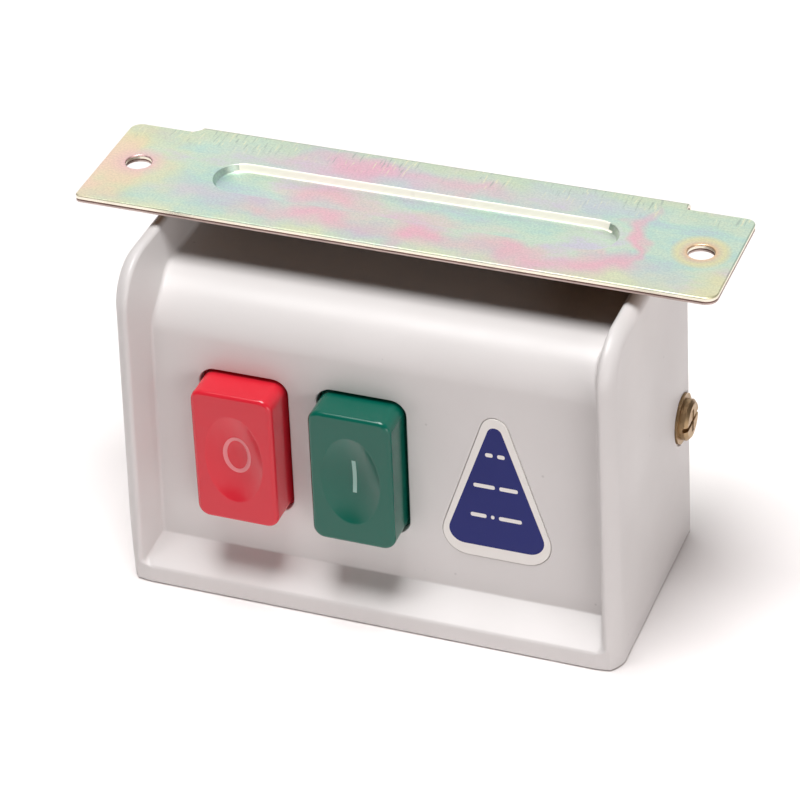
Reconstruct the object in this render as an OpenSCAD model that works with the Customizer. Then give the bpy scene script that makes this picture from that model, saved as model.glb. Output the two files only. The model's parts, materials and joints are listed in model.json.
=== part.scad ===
// Push-button magnetic motor switch on a folded steel mounting bracket.
// All sizes are millimetres. Every piece is drawn with X from the middle of the cover, Y from the
// front of the cover towards the back and Z from its underside. seat() then moves it so that the
// origin is midway between the two bracket holes, on the face that is bolted under a table.

/* [Cover] */
// Width of the moulded cover across its middle
cover_w = 100; // [99:0.5:106]
// How much further out each side stands at the foot than where the cover is cover_w wide
splay = 1.3; // [0:0.1:1.5]
// Height of the cover at its side rims
cover_h = 72.8; // [72.6:0.1:74]
// Depth of the cover at its sides
cover_d = 48.4; // [47.8:0.1:48.5]
// Wall thickness of the cover
wall = 2; // [1.8:0.1:2.2]
// Width of each raised side rim
rim_w = 4.3; // [3:0.1:5]
// How deep the front panel lies behind the rims
panel_y = 6.75; // [6:0.25:7]
// How far the top between the rims lies below them
top_sink = 7; // [4:0.1:7]
// Height of the shelf where it meets the panel
shelf_h = 8.1; // [7:0.1:9]
// Height of the lip at the front of the shelf
lip_h = 3.8; // [3:0.1:4.5]
// Radius of the brow, where the front turns into the top
brow_r = 10; // [8:0.5:11]

/* [Bracket] */
// Length of the top plate
plate_l = 128; // [124:1:140]
// Thickness of the steel sheet
sheet = 1.6; // [1.5:0.1:1.7]
// Height of the plate's upper face above the underside of the cover
deck_h = 77; // [76.8:0.1:78]
// Distance of the plate's front edge behind the front of the cover
plate_y = 17.2; // [16:0.2:18]
// Distance of the back plate's outer face behind the front of the cover
back_y = 50.2; // [50.2:0.1:50.8]
// Spacing of the two mounting holes
hole_spacing = 114; // [110:1:116]
// Diameter of the mounting holes
hole_d = 5.2; // [4.5:0.1:5.5]
// Distance of the mounting holes behind the front of the cover
hole_y = 32.4; // [31.5:0.1:33]
// Length of the pressed pocket
pocket_l = 81.6; // [70:0.2:84]
// Width of the pressed pocket
pocket_w = 10.7; // [9:0.1:11]
// Depth of the pressed pocket
pocket_depth = 1.4; // [1:0.1:1.5]

/* [Label] */
// Middle of the label, across the cover
label_x = 24.6; // [23:0.1:26]
// Foot of the label above the underside of the cover
label_z = 16.8; // [16:0.1:18]
// Width of the label
label_w = 21.8; // [20:0.1:24]
// Height of the label
label_h = 32.7; // [30:0.1:34]
// Radius of the label's two lower corners
label_foot_r = 5.1; // [3:0.1:6]
// Radius of the label's upper corner
label_tip_r = 2.7; // [1.5:0.1:3]

/* [Buttons] */
// Width of a button cap
cap_w = 16.9; // [16:0.1:17]
// Height of a button cap
cap_h = 29.5; // [28:0.1:30]
// Corner radius of a button cap
cap_r = 3; // [2:0.25:4]
// Height of the buttons' middle above the underside of the cover
cap_z = 34; // [33.9:0.1:34.1]
// Middle of the OFF button, across the cover
off_x = -26.35; // [-26.5:0.05:-26.2]
// Middle of the ON button, across the cover
on_x = -2.25; // [-2.4:0.05:-2.1]
// Width of the thumb dish in a button's face
dish_w = 12; // [10:0.5:12.5]
// Height of the thumb dish
dish_h = 20; // [16:0.5:22]
// Depth of the thumb dish
dish_depth = 2.2; // [0.6:0.1:2.3]
// Travel of the ON button and of the contact carrier
on_travel = 4.5; // [3.5:0.25:4.5]

/* [Hidden] */
$fn = 64;
skip = 0.05;          // tool overrun, so that no cut ends on a face
running = 0.1;        // radial clearance of a stem in its guide

// Cover
side_x = cover_w / 2;
rear_y = back_y - sheet;              // front face of the back plate
panel_top = cover_h - top_sink;
inner_y = panel_y + wall;             // inner face of the panel
inner_top = panel_top - wall;
window_gap = 0.6;
upright_r = 3.5;                      // the cover's front uprights
shoulder_r = 2.5;                     // the rims' outer top edges
true_z = 55;                          // where the cover is cover_w wide
foot_x = side_x + splay;
lean = atan(splay / true_z);          // of the cover's sides
top_x = foot_x - cover_h * tan(lean);
seat_x = side_x + 0.35;               // the spot faces under the cover screws' washers
washer_r = 5.2;
washer_t = 0.6;
washer_bore_r = 2.1;
seat_clearance = 0.4;                 // of a spot face round its washer
cover_screw_l = 6.2;
cover_screw_head = [4.2, 1.8];        // radius and height
screw_hole_r = 2.3;                   // in the cover
wide_z = 72.2;                        // above this the back plate is as wide as the cover
label_gap = 0.15;                     // between the label and the edge of its bed
label_bed = 0.3;
label_proud = 0.15;

// Bracket
nest_x = side_x - wall - 0.4;         // half-width of the back plate behind the cover
ear_back_y = 46.5;
plate_corners = [1.1, 2.4, 1.9, 2.3];  // front left, front right, rear right, rear left
bend_in = 1;                          // inner bend radius
bend_out = bend_in + sheet;
tab_z = 23;                           // side tabs for the cover screws
tab_h = 15;
tab_front = 38.2;
tap_r = 2;                            // M4 tapped hole
screw_r = 1.95;                       // M4 screw in it
screw_y = 44;
screw_z = tab_z + tab_h / 2;
cable_x = 38.2;
cable_z = [14, 55];
cable_hole_r = 6;
cable_r = 4;                          // bore of the grommets
earth = [42, 43];                     // x and z of the earth screw
grommet_lip = 2;
grommet_t = 1.6;

// Depths, front to back
cap_face = -0.2;
cap_wall = 1.8;
flange_y = inner_y + 0.1;             // buttons' flanges, resting behind the panel
flange_t = 2;
flange_lip = 1.8;
cap_floor = 3.4;                      // inner side of a cap's face
front_y = 17.4;                       // front wall of the contactor housing
front_t = 2.5;
carrier_y = 20.4;
carrier_t = 3.6;
armature_y = carrier_y + carrier_t;
armature_t = 3.2;
pole_y = armature_y + armature_t + on_travel + 0.1;
base_y = 32.85;                       // front face of the contactor base
well_y = 43.8;                        // floor of the magnet well
yoke_t = 4;

// Contactor, across and up
core_x = 15;                          // half-width of the magnet
core_z = 7;                           // half-height of the lamination stack
limb_w = 5;
middle_limb = 4.5;                    // half-width of the middle limb
pole_pitch = 18;                      // main contacts above and below the buttons' axis
tip_x = 10;                           // main contact tips either side of the ON axis
tip_r = 1.75;
tip_t = 0.8;
strip_t = 1;
bridge_y = 24.7;
moving_tip_y = bridge_y + strip_t;
fixed_tip_y = moving_tip_y + tip_t + on_travel + 0.05;
strip_y = base_y - strip_t;
base_left = -34;
base_right = 30;
line_x = -28.5;                       // line terminals
load_x = 24.5;                        // load terminals
box_x = 18;                           // half-width of the housing's middle box
box_z = 24.9;
box_wall = 2;
wing_z = 12;                          // half-height of the housing's stop-contact wing
stop_y = 25.4;                        // stop bridge
stop_t = 0.8;
stop_tip_z = 4.9;
stop_tip_t = 0.55;
stop_strip_y = stop_y - stop_tip_t - 0.05 - stop_tip_t - stop_t;
stop_screw_z = 8.3;
stem_r = 3;
house_z = 27.2;                       // housing screws, above and below the ON axis
base_z = 29.5;                        // half-height of the contactor base
ear_x = [-38, 34];                    // contactor screws, across

// ---------- shared shapes ----------

// Moves a piece from the cover's front bottom edge to the mounting face
module seat() {
    translate([0, -hole_y, -deck_h]) children();
}

// Extrudes an outline drawn in Y and Z along X
module along_x(from, to) {
    translate([from, 0, 0]) rotate([90, 0, 90]) linear_extrude(to - from) children();
}

// Extrudes an outline drawn in X and Z along Y
module along_y(from, to) {
    translate([0, to, 0]) rotate([90, 0, 0]) linear_extrude(to - from) children();
}

// A round bar along Y
module bar_y(r, from, to) {
    translate([0, to, 0]) rotate([90, 0, 0]) cylinder(r = r, h = to - from);
}

// A block given by its lowest and highest corners
module block(low, high) {
    translate(low) cube(high - low);
}

// What is cut from a square corner at the origin to round it
module corner_cut(r) {
    difference() {
        translate([-1, -1]) square(r + 1);
        translate([r, r]) circle(r);
    }
}

// A rectangle with its own radius at each corner: low left, low right, high right, high left
module round_rect(low, high, radii) {
    size = high - low;
    difference() {
        translate(low) square(size);
        if (radii[0] > 0) translate(low) corner_cut(radii[0]);
        if (radii[1] > 0) translate([high[0], low[1]]) mirror([1, 0]) corner_cut(radii[1]);
        if (radii[2] > 0) translate(high) mirror([1, 0]) mirror([0, 1]) corner_cut(radii[2]);
        if (radii[3] > 0) translate([low[0], high[1]]) mirror([0, 1]) corner_cut(radii[3]);
    }
}

// A rectangle about the origin with equal round corners
module soft_rect(w, h, r) {
    round_rect([-w / 2, -h / 2], [w / 2, h / 2], [r, r, r, r]);
}

// A slot shape about the origin, along X
module obround(l, w) {
    square([l - w, w], center = true);
    for (s = [-1, 1]) translate([s * (l - w) / 2, 0]) circle(d = w);
}

// A triangle on a flat base with round corners, of the given overall width and height
module round_triangle(w, h, foot_r, tip_r) {
    hull() {
        for (s = [-1, 1]) translate([s * (w / 2 - foot_r), foot_r]) circle(foot_r);
        translate([0, h - tip_r]) circle(tip_r);
    }
}

function unit(v) = v / norm(v);

function ring(p, along, up, r, sides) =
    let (u = unit(cross(along, up)), v = unit(cross(u, along)))
    [for (k = [0 : sides - 1]) p + r * (cos(360 * k / sides) * u + sin(360 * k / sides) * v)];

// A round tube swept along a path of points; up is never parallel to the path
module tube(path, r, up, sides = 6) {
    last = len(path) - 1;
    points = [for (i = [0 : last])
        each ring(path[i], path[min(i + 1, last)] - path[max(i - 1, 0)], up, r, sides)];
    walls = [for (i = [0 : last - 1], k = [0 : sides - 1])
        let (a = i * sides + k, b = i * sides + (k + 1) % sides)
        each [[a, b, b + sides], [a, b + sides, a + sides]]];
    polyhedron(points, concat(walls, [
        [for (k = [sides - 1 : -1 : 0]) k],
        [for (k = [0 : sides - 1]) last * sides + k]]));
}

function bezier(p, t) = pow(1 - t, 3) * p[0] + 3 * t * pow(1 - t, 2) * p[1]
    + 3 * t * t * (1 - t) * p[2] + pow(t, 3) * p[3];

// An insulated wire on one smooth curve between two ends
module wire(ends, up) {
    steps = 14;
    tube([for (i = [0 : steps]) bezier(ends, i / steps)], 0.85, up, 8);
}

// A compression spring along Y with a closed turn at each end
module spring(r, wire_r, from, to, turns) {
    steps = 14;
    closed = 2.2 * wire_r;
    count = turns * steps;
    function rise(i) = let (turn = i / steps, low = from + wire_r, high = to - wire_r)
        turn < 1 ? low + closed * turn
        : turn > turns - 1 ? high - closed * (turns - turn)
        : low + closed + (high - low - 2 * closed) * (turn - 1) / (turns - 2);
    tube([for (i = [0 : count])
        [r * cos(360 * i / steps), rise(i), r * sin(360 * i / steps)]], wire_r, [0, 1, 0]);
}

// A pan-head screw with its head towards -Y and its bearing face at y = 0
module screw(r, length, head_r, head_t, slot_w, crossed = false) {
    dome = head_t * 2.4;
    difference() {
        union() {
            bar_y(r, -skip, length);
            intersection() {
                bar_y(head_r, -head_t, 0);
                translate([0, dome - head_t, 0]) sphere(norm([head_r, dome]) * 0.93);
            }
        }
        block([-head_r - 1, -head_t - 1, -slot_w / 2], [head_r + 1, -head_t * 0.45, slot_w / 2]);
        if (crossed)
            block([-slot_w / 2, -head_t - 1, -head_r * 0.6], [slot_w / 2, -head_t * 0.3, head_r * 0.6]);
    }
}

// A flat washer along Y
module washer(r, bore, from, to) {
    difference() {
        bar_y(r, from, to);
        bar_y(bore, from - 1, to + 1);
    }
}

module at_on() translate([on_x, 0, cap_z]) children();
module at_off() translate([off_x, 0, cap_z]) children();
module both_poles() for (s = [-1, 1]) translate([0, 0, s * pole_pitch]) children();
module both_sides() for (s = [0, 1]) mirror([s, 0, 0]) children();

// ---------- cover and bracket ----------

module cover_panel_outline() {
    polygon([[-1, -1], [-1, 0], [0, 0], [0, lip_h], [panel_y, shelf_h], [panel_y + 20, shelf_h],
        [panel_y + 20, -1]]);
    round_rect([panel_y, -1], [back_y + 1, panel_top], [0, 0, 0, brow_r]);
}

module window(w, h) {
    along_y(-1, inner_y + 1) soft_rect(w + 2 * window_gap, h + 2 * window_gap, cap_r + window_gap);
}

// What is cut from the top left corner of a block at the origin, whose side leans, to round it
module shoulder_cut(r) {
    out = 2;
    middle = [r * (1 - sin(lean)) / cos(lean), -r];
    side = middle + (r + out) * [-cos(lean), sin(lean)];
    difference() {
        polygon([middle, side, [-2 * out, 2 * out], [middle[0], out]]);
        translate(middle) circle(r);
    }
}

module cover() seat() color("#d9d2c8") difference() {
    along_x(-foot_x, foot_x) round_rect([0, 0], [cover_d, cover_h], [0, 0, 0, brow_r]);
    both_sides() {
        // leaning side with a round upright
        translate([-foot_x, 0, 0]) rotate([0, lean, 0]) {
            block([-5, -5, -5], [0, back_y + 5, cover_h + 5]);
            translate([0, 0, -5]) linear_extrude(cover_h + 10) corner_cut(upright_r);
        }
        along_y(-1, back_y + 1) translate([-top_x, cover_h]) shoulder_cut(shoulder_r);
        // spot face for a screw's washer
        translate([-seat_x, screw_y, screw_z]) rotate([0, -90, 0]) cylinder(r = washer_r + seat_clearance, h = 5);
    }
    // the sunk panel, its shelf and the lower top between the rims
    along_x(rim_w - side_x, side_x - rim_w) difference() {
        translate([-1, 0]) square([back_y + 2, cover_h + 1]);
        cover_panel_outline();
    }
    // inside
    along_x(wall - side_x, side_x - wall)
        round_rect([inner_y, wall], [back_y + 1, inner_top], [0, 0, 0, brow_r - wall]);
    at_off() window(cap_w, cap_h);
    at_on() window(cap_w, cap_h);
    // shallow bed for the label
    label_place(panel_y - 1, panel_y + label_bed) translate([0, -label_gap])
        round_triangle(label_w + 2 * label_gap, label_h + 2 * label_gap, label_foot_r + label_gap,
            label_tip_r + label_gap);
    translate([-foot_x - 1, screw_y, screw_z]) rotate([0, 90, 0]) cylinder(r = screw_hole_r, h = 2 * foot_x + 2);
}

module label_place(from, to) {
    translate([label_x, 0, label_z]) along_y(from, to) children();
}

module label() seat() color("#2d3c85")
    label_place(panel_y - label_proud, panel_y + label_bed)
        round_triangle(label_w, label_h, label_foot_r, label_tip_r);

// The folded section of the bracket, front to back
module fold_outline() {
    difference() {
        round_rect([ear_back_y - 6, 0], [back_y, deck_h], [0, 0, bend_out, 0]);
        round_rect([ear_back_y - 7, -1], [rear_y, deck_h - sheet], [0, 0, bend_in, 0]);
    }
}

// The back plate, as seen from the front
module back_plate_outline() {
    round_rect([-nest_x, wall + 0.4], [nest_x, deck_h - bend_out], [2, 2, 0, 0]);
    round_rect([-side_x, wide_z], [side_x, deck_h + 1], [1, 1, 0, 0]);
}

// One side tab and its bend, seen from above, on the right
module tab_outline() {
    difference() {
        round_rect([nest_x - 6, tab_front], [nest_x, back_y], [0, 0, bend_out, 0]);
        round_rect([nest_x - 7, tab_front - 1], [nest_x - sheet, rear_y], [0, 0, bend_in, 0]);
    }
}

module mounting_bracket() seat() color("#c9d8bd") difference() {
    union() {
        translate([0, 0, deck_h - sheet]) linear_extrude(sheet)
            round_rect([-plate_l / 2, plate_y], [plate_l / 2, ear_back_y], plate_corners);
        intersection() {
            along_x(-side_x, side_x) fold_outline();
            along_y(plate_y, back_y + 1) back_plate_outline();
        }
        translate([0, hole_y, deck_h - sheet - pocket_depth]) linear_extrude(sheet)
            obround(pocket_l + 2, pocket_w + 2);
        both_sides() translate([0, 0, tab_z]) linear_extrude(tab_h) tab_outline();
    }
    translate([0, hole_y, deck_h - pocket_depth]) linear_extrude(sheet) obround(pocket_l, pocket_w);
    for (s = [-1, 1]) translate([s * hole_spacing / 2, hole_y, deck_h - 3]) cylinder(d = hole_d, h = 6);
    // outside the tabs' bends
    both_sides() translate([nest_x, back_y, tab_z - skip]) mirror([1, 0, 0]) mirror([0, 1, 0])
        linear_extrude(tab_h + 2 * skip) corner_cut(bend_out);
    both_sides() translate([nest_x - 3, screw_y, screw_z]) rotate([0, 90, 0]) cylinder(r = tap_r, h = 6);
    for (x = ear_x) translate([x, 0, cap_z]) bar_y(tap_r, rear_y - 1, back_y + 1);
    for (z = cable_z) translate([cable_x, 0, z]) bar_y(cable_hole_r, rear_y - 1, back_y + 1);
    translate([earth[0], 0, earth[1]]) bar_y(tap_r, rear_y - 1, back_y + 1);
}

module on_cover_sides() both_sides() translate([seat_x, screw_y, screw_z]) rotate([0, 0, 90]) children();

module cover_screws() seat() color("#b59a62") on_cover_sides()
    translate([0, -washer_t, 0]) screw(screw_r, cover_screw_l, cover_screw_head[0], cover_screw_head[1], 1, true);

module cover_screw_washers() seat() color("#8f7c55") on_cover_sides() washer(washer_r, washer_bore_r, -washer_t, 0);

module cable_grommets() seat() color("#26262a")
    for (z = cable_z) translate([cable_x, 0, z]) difference() {
        union() {
            bar_y(cable_hole_r, rear_y - grommet_lip, back_y + grommet_t);
            bar_y(cable_hole_r + grommet_lip, rear_y - grommet_lip, rear_y);
            bar_y(cable_hole_r + grommet_lip, back_y, back_y + grommet_t);
        }
        bar_y(cable_r, rear_y - 3, back_y + 3);
    }

// ---------- buttons ----------

// The shallow thumb dish in a button's face
module dish() {
    half_w = dish_w / 2;
    half_h = dish_h / 2;
    axis = (half_w * half_w / dish_depth - dish_depth) / 2;
    arc = (half_h * half_h / dish_depth + dish_depth) / 2;
    translate([0, cap_face - axis, 0]) rotate_extrude() intersection() {
        translate([axis + dish_depth - arc, 0]) circle(arc, $fn = 256);
        translate([0, -half_h - 1]) square([axis + dish_depth + 1, 2 * half_h + 2]);
    }
}

module button_body(stem_end) {
    difference() {
        union() {
            along_y(cap_face, flange_y + flange_t) soft_rect(cap_w, cap_h, cap_r);
            along_y(flange_y, flange_y + flange_t)
                soft_rect(cap_w + 2 * flange_lip, cap_h + 2 * flange_lip, cap_r);
        }
        dish();
        along_y(cap_floor, flange_y + flange_t + 1)
            soft_rect(cap_w - 2 * cap_wall, cap_h - 2 * cap_wall, cap_r - 1);
    }
    bar_y(stem_r, cap_floor - 1, stem_end);
}

module on_button() seat() color("#1f5a52") at_on() button_body(carrier_y - 0.2);

module off_button() seat() color("#b3202c") at_off() {
    button_body(stop_y);
    bar_y(1.5, stop_y - 1, stop_y + stop_t + 1.4);
}

module button_spring() spring(4.6, 0.4, cap_floor, front_y, 6);

module off_button_spring() seat() color("#a9adb0") at_off() button_spring();

module on_button_spring() seat() color("#a9adb0") at_on() button_spring();

// ---------- contactor body ----------

module contactor_base() seat() color("#1d1d20") difference() {
    union() {
        block([base_left, base_y, cap_z - base_z], [base_right, rear_y, cap_z + base_z]);
        for (x = ear_x) along_y(well_y, rear_y) translate([x, cap_z]) square([9, 10], center = true);
    }
    at_on() {
        // well for the magnet and coil
        block([-core_x - 0.4, base_y - 1, -13], [core_x + 0.4, well_y, 13]);
        for (s = [-1, 1]) translate([0, 0, s * house_z]) bar_y(1.3, base_y - 1, 42);
        // grooves for the coil's leads
        block([-24, base_y - 1, 7.2], [-core_x, base_y + 3.6, 10.8]);
        block([core_x, base_y - 1, -11.4], [24, base_y + 3.6, -7.2]);
    }
    for (x = [line_x, load_x], s = [-1, 1]) translate([x, 0, cap_z + s * pole_pitch]) bar_y(1.8, base_y - 1, 41);
    for (x = ear_x) translate([x, 0, cap_z]) bar_y(2.2, well_y - 1, rear_y + 1);
}

module contactor_housing() seat() color("#2b2b2f") difference() {
    union() {
        at_on() {
            block([-box_x, front_y, -box_z], [box_x, base_y, box_z]);
            for (s = [-1, 1]) along_y(base_y - 3, base_y)
                translate([0, s * (house_z - 0.4)]) square([9, 5.4], center = true);
        }
        block([base_left, front_y, cap_z - wing_z], [on_x - box_x + 1, base_y, cap_z + wing_z]);
    }
    at_on() {
        block([box_wall - box_x, front_y + front_t, box_wall - box_z],
            [box_x - box_wall, base_y + 1, box_z - box_wall]);
        bar_y(stem_r + running, front_y - 1, carrier_y);
        // notches over the main contact strips
        both_poles() block([-box_x - 1, strip_y - 0.1, -3.7], [box_x + 1, base_y + 1, 3.7]);
        for (s = [-1, 1]) translate([0, 0, s * house_z]) bar_y(1.55, base_y - 4, base_y + 1);
    }
    // the wing's chamber, around the posts that carry the stop contacts
    difference() {
        block([base_left + box_wall, front_y + front_t, cap_z - wing_z + box_wall],
            [on_x - box_x - box_wall + 2, base_y + 1, cap_z + wing_z - box_wall]);
        at_off() for (s = [-1, 1]) translate([0, 0, s * stop_screw_z])
            block([-3, front_y, -2], [3, stop_strip_y, 2]);
    }
    at_off() {
        bar_y(stem_r + running, front_y - 1, carrier_y);
        for (s = [-1, 1]) translate([0, 0, s * stop_screw_z]) bar_y(0.95, stop_strip_y - 2.5, base_y);
        // way out for the line lead
        translate([-2.8, 28.5, -wing_z + 1]) cylinder(r = 2.4, h = 4, center = true);
    }
}

module housing_screws() seat() color("#b9bcbe") at_on()
    for (s = [-1, 1]) translate([0, base_y - 3, s * house_z]) screw(1.25, 11, 2.2, 1.9, 0.8);

module at_ears() for (x = ear_x) translate([x, 0, cap_z]) children();

module contactor_screws() seat() color("#b9bcbe") at_ears()
    translate([0, well_y - 0.8, 0]) screw(screw_r, back_y - well_y + 0.8, 3.6, 2.4, 1.1, true);

module contactor_screw_washers() seat() color("#c9ccce") at_ears() washer(3.9, 2.1, well_y - 0.8, well_y);

module earth_screw() seat() color("#3f7d4a") translate([earth[0], 0, earth[1]])
    translate([0, rear_y - 0.8, 0]) screw(screw_r, back_y - rear_y + 0.8, 3.7, 2.3, 1.1, true);

module earth_tag() seat() color("#c8ccce") translate([earth[0], 0, earth[1]]) difference() {
    union() {
        bar_y(4.2, rear_y - 0.8, rear_y);
        block([-9, rear_y - 0.8, -1.6], [-3, rear_y, 1.6]);
    }
    bar_y(2.1, rear_y - 2, rear_y + 1);
}

// ---------- magnet ----------

module magnet_core() seat() color("#77797c") at_on() difference() {
    block([-core_x, pole_y, -core_z], [core_x, well_y, core_z]);
    both_sides() block([middle_limb, pole_y - 1, -core_z - 1], [core_x - limb_w, well_y - yoke_t, core_z + 1]);
    // slots for the shading rings
    both_sides() translate([core_x - limb_w / 2, 0, 0])
        block([-0.6, pole_y - 1, -core_z - 1], [0.6, pole_y + 1.4, core_z + 1]);
    both_sides() block([core_x - 0.6, pole_y - 1, -core_z - 1], [core_x + 1, pole_y + 1.4, core_z + 1]);
}

module shading_rings() seat() color("#b4693f") at_on() both_sides() difference() {
    block([core_x - limb_w / 2 - 0.55, pole_y + 0.1, -core_z - 1],
        [core_x + 0.35, pole_y + 1.35, core_z + 1]);
    block([core_x - limb_w / 2 + 0.6, pole_y - 1, -core_z], [core_x - 0.6, pole_y + 2, core_z]);
}

bobbin_y = [32, well_y - yoke_t - 0.2];

module coil_bobbin() seat() color("#e7e1cf") at_on() difference() {
    union() {
        for (y = [bobbin_y[0], bobbin_y[1] - 0.9]) along_y(y, y + 0.9)
            soft_rect(2 * (core_x - limb_w) - 0.4, 25.4, 1.5);
        along_y(bobbin_y[0], bobbin_y[1]) soft_rect(2 * middle_limb + 1.8, 2 * core_z + 1.8, 0.8);
    }
    block([-middle_limb - 0.1, bobbin_y[0] - 1, -core_z - 0.1],
        [middle_limb + 0.1, bobbin_y[1] + 1, core_z + 0.1]);
}

module coil_winding() seat() color("#9c4a22") at_on()
    along_y(bobbin_y[0] + 0.95, bobbin_y[1] - 0.95) difference() {
        soft_rect(2 * (core_x - limb_w) - 0.8, 24.8, 3);
        soft_rect(2 * middle_limb + 1.9, 2 * core_z + 1.9, 0.8);
    }

// ---------- moving contacts ----------

module armature() seat() color("#808286") at_on() difference() {
    block([-core_x, armature_y, -core_z], [core_x, armature_y + armature_t, core_z]);
    bar_y(1.6, armature_y - 1, armature_y + armature_t + 1);
}

module armature_rivet() seat() color("#b9bcbe") at_on() {
    bar_y(1.5, carrier_y + 0.5, armature_y + armature_t - 0.1);
    bar_y(2.6, carrier_y, carrier_y + 1.2);
}

module contact_carrier() seat() color("#dcd6c4") at_on() difference() {
    union() {
        along_y(carrier_y, armature_y) soft_rect(14, 45.2, 2);
        // stirrups that hold the bridges
        both_poles() block([-5, armature_y - 1, -4.4], [5, moving_tip_y + 2, 4.4]);
    }
    both_poles() {
        block([-6, armature_y, -3.4], [6, moving_tip_y + 0.02, 3.4]);
        bar_y(2.7, carrier_y + 0.8, armature_y + 1);
    }
    bar_y(1.6, carrier_y - 1, armature_y + 1);
    bar_y(2.7, carrier_y - 1, carrier_y + 1.25);
}

module moving_contact_bridges() seat() color("#c98d4a") at_on() both_poles()
    along_y(bridge_y, moving_tip_y) soft_rect(2 * tip_x + 4, 6.2, 1);

module moving_contact_tips() seat() color("#cfd2d4") at_on() both_poles()
    for (s = [-1, 1]) translate([s * tip_x, 0, 0]) bar_y(tip_r, moving_tip_y, moving_tip_y + tip_t);

module contact_springs() seat() color("#a9adb0") at_on() both_poles()
    spring(2, 0.25, carrier_y + 0.8, bridge_y, 5);

module return_springs() seat() color("#a9adb0") at_on()
    for (s = [-1, 1]) translate([0, 0, s * 10.2]) spring(2.1, 0.3, armature_y, bobbin_y[0], 5);

// One main contact strip, from its tip to its terminal
module contact_strip(inner, outer, terminal) {
    difference() {
        along_y(strip_y, base_y) round_rect([min(inner, outer), -3.5], [max(inner, outer), 3.5], [1, 1, 1, 1]);
        translate([terminal, 0, 0]) bar_y(1.8, strip_y - 1, base_y + 1);
    }
}

module line_contacts() seat() color("#c2a14d") translate([0, 0, cap_z]) both_poles()
    contact_strip(on_x - tip_x + 2.6, base_left + 0.5, line_x);

module load_contacts() seat() color("#c2a14d") translate([0, 0, cap_z]) both_poles()
    contact_strip(on_x + tip_x - 2.6, base_right - 0.5, load_x);

module fixed_contact_tips() seat() color("#cfd2d4") at_on() both_poles()
    for (s = [-1, 1]) translate([s * tip_x, 0, 0]) bar_y(tip_r, fixed_tip_y, strip_y);

module at_terminals() for (x = [line_x, load_x], s = [-1, 1])
    translate([x, 0, cap_z + s * pole_pitch]) children();

module terminal_screws() seat() color("#c5c8ca") at_terminals()
    translate([0, strip_y - 1.2, 0]) screw(1.7, 8.5, 3.2, 2.2, 0.9, true);

module terminal_clamps() seat() color("#c9b074") at_terminals() difference() {
    along_y(strip_y - 1.2, strip_y) square(7, center = true);
    bar_y(1.8, strip_y - 2, strip_y + 1);
}

// ---------- stop contact ----------

module stop_bridge() seat() color("#c98d4a") at_off() difference() {
    along_y(stop_y, stop_y + stop_t) soft_rect(5, 13, 1);
    bar_y(1.6, stop_y - 1, stop_y + stop_t + 1);
}

module both_stops(z) for (s = [-1, 1]) translate([0, 0, s * z]) children();

module stop_bridge_tips() seat() color("#cfd2d4") at_off() both_stops(stop_tip_z)
    bar_y(1.3, stop_y - stop_tip_t, stop_y);

module stop_bridge_retainer() seat() color("#8e9194") at_off()
    washer(2.8, 1.52, stop_y + stop_t, stop_y + stop_t + 0.8);

module stop_fixed_contacts() seat() color("#c2a14d") at_off() for (s = [-1, 1]) mirror([0, 0, s < 0 ? 1 : 0])
    difference() {
        along_y(stop_strip_y, stop_strip_y + stop_t) round_rect([-2.5, 3.5], [2.5, 9.8], [0.5, 0.5, 0.5, 0.5]);
        translate([0, 0, stop_screw_z]) bar_y(1.1, stop_strip_y - 1, stop_strip_y + 2);
    }

module stop_fixed_tips() seat() color("#cfd2d4") at_off() both_stops(stop_tip_z)
    bar_y(1.3, stop_strip_y + stop_t, stop_strip_y + stop_t + stop_tip_t);

module stop_contact_screws() seat() color("#c5c8ca") at_off() both_stops(stop_screw_z)
    mirror([0, 1, 0]) translate([0, -stop_strip_y - stop_t, 0]) screw(0.9, 2.8, 1.5, 1, 0.5);

// ---------- wires ----------

module coil_lead() seat() color("#26262a")
    wire([[on_x - 10.47, 35, cap_z + 9], [-20.5, 35.6, cap_z + 9.1],
        [off_x + 2.9, 34.6, cap_z + 9], [off_x + 3.36, 24.35, cap_z + 8.6]], [0, 0, 1]);

module load_lead() seat() color("#26262a")
    wire([[on_x + 10.47, 35, cap_z - 9], [16.5, 36.2, cap_z - 9],
        [20.5, 30.2, cap_z - 8], [load_x, 31, cap_z - pole_pitch + 4]], [1, 0.2, 1]);

module line_lead() seat() color("#7a3b22")
    wire([[off_x - 3.36, 24.35, cap_z - 8.5], [off_x - 3.4, 29, cap_z - 8.8],
        [off_x - 2.5, 29.4, cap_z - wing_z], [line_x, 31, cap_z - pole_pitch + 4]], [1, 0, 0]);

mounting_bracket();
cover();
label();
off_button();
on_button();
cover_screws();
cover_screw_washers();
cable_grommets();
off_button_spring();
on_button_spring();
contactor_base();
contactor_housing();
housing_screws();
contactor_screws();
contactor_screw_washers();
magnet_core();
shading_rings();
coil_bobbin();
coil_winding();
armature();
armature_rivet();
contact_carrier();
moving_contact_bridges();
moving_contact_tips();
contact_springs();
return_springs();
line_contacts();
load_contacts();
fixed_contact_tips();
terminal_screws();
terminal_clamps();
stop_bridge();
stop_bridge_tips();
stop_bridge_retainer();
stop_fixed_contacts();
stop_fixed_tips();
stop_contact_screws();
coil_lead();
load_lead();
line_lead();
earth_screw();
earth_tag();
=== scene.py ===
"""Looks of a push-button magnetic motor switch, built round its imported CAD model.

Every piece is drawn in millimetres in the cover's own coordinates, X from its middle, Y from its front
towards the back and Z from its underside, and is placed from the CAD cover's box.
"""

import json
import math

import bmesh
import bpy
from mathutils import Matrix, Vector, geometry


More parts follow.
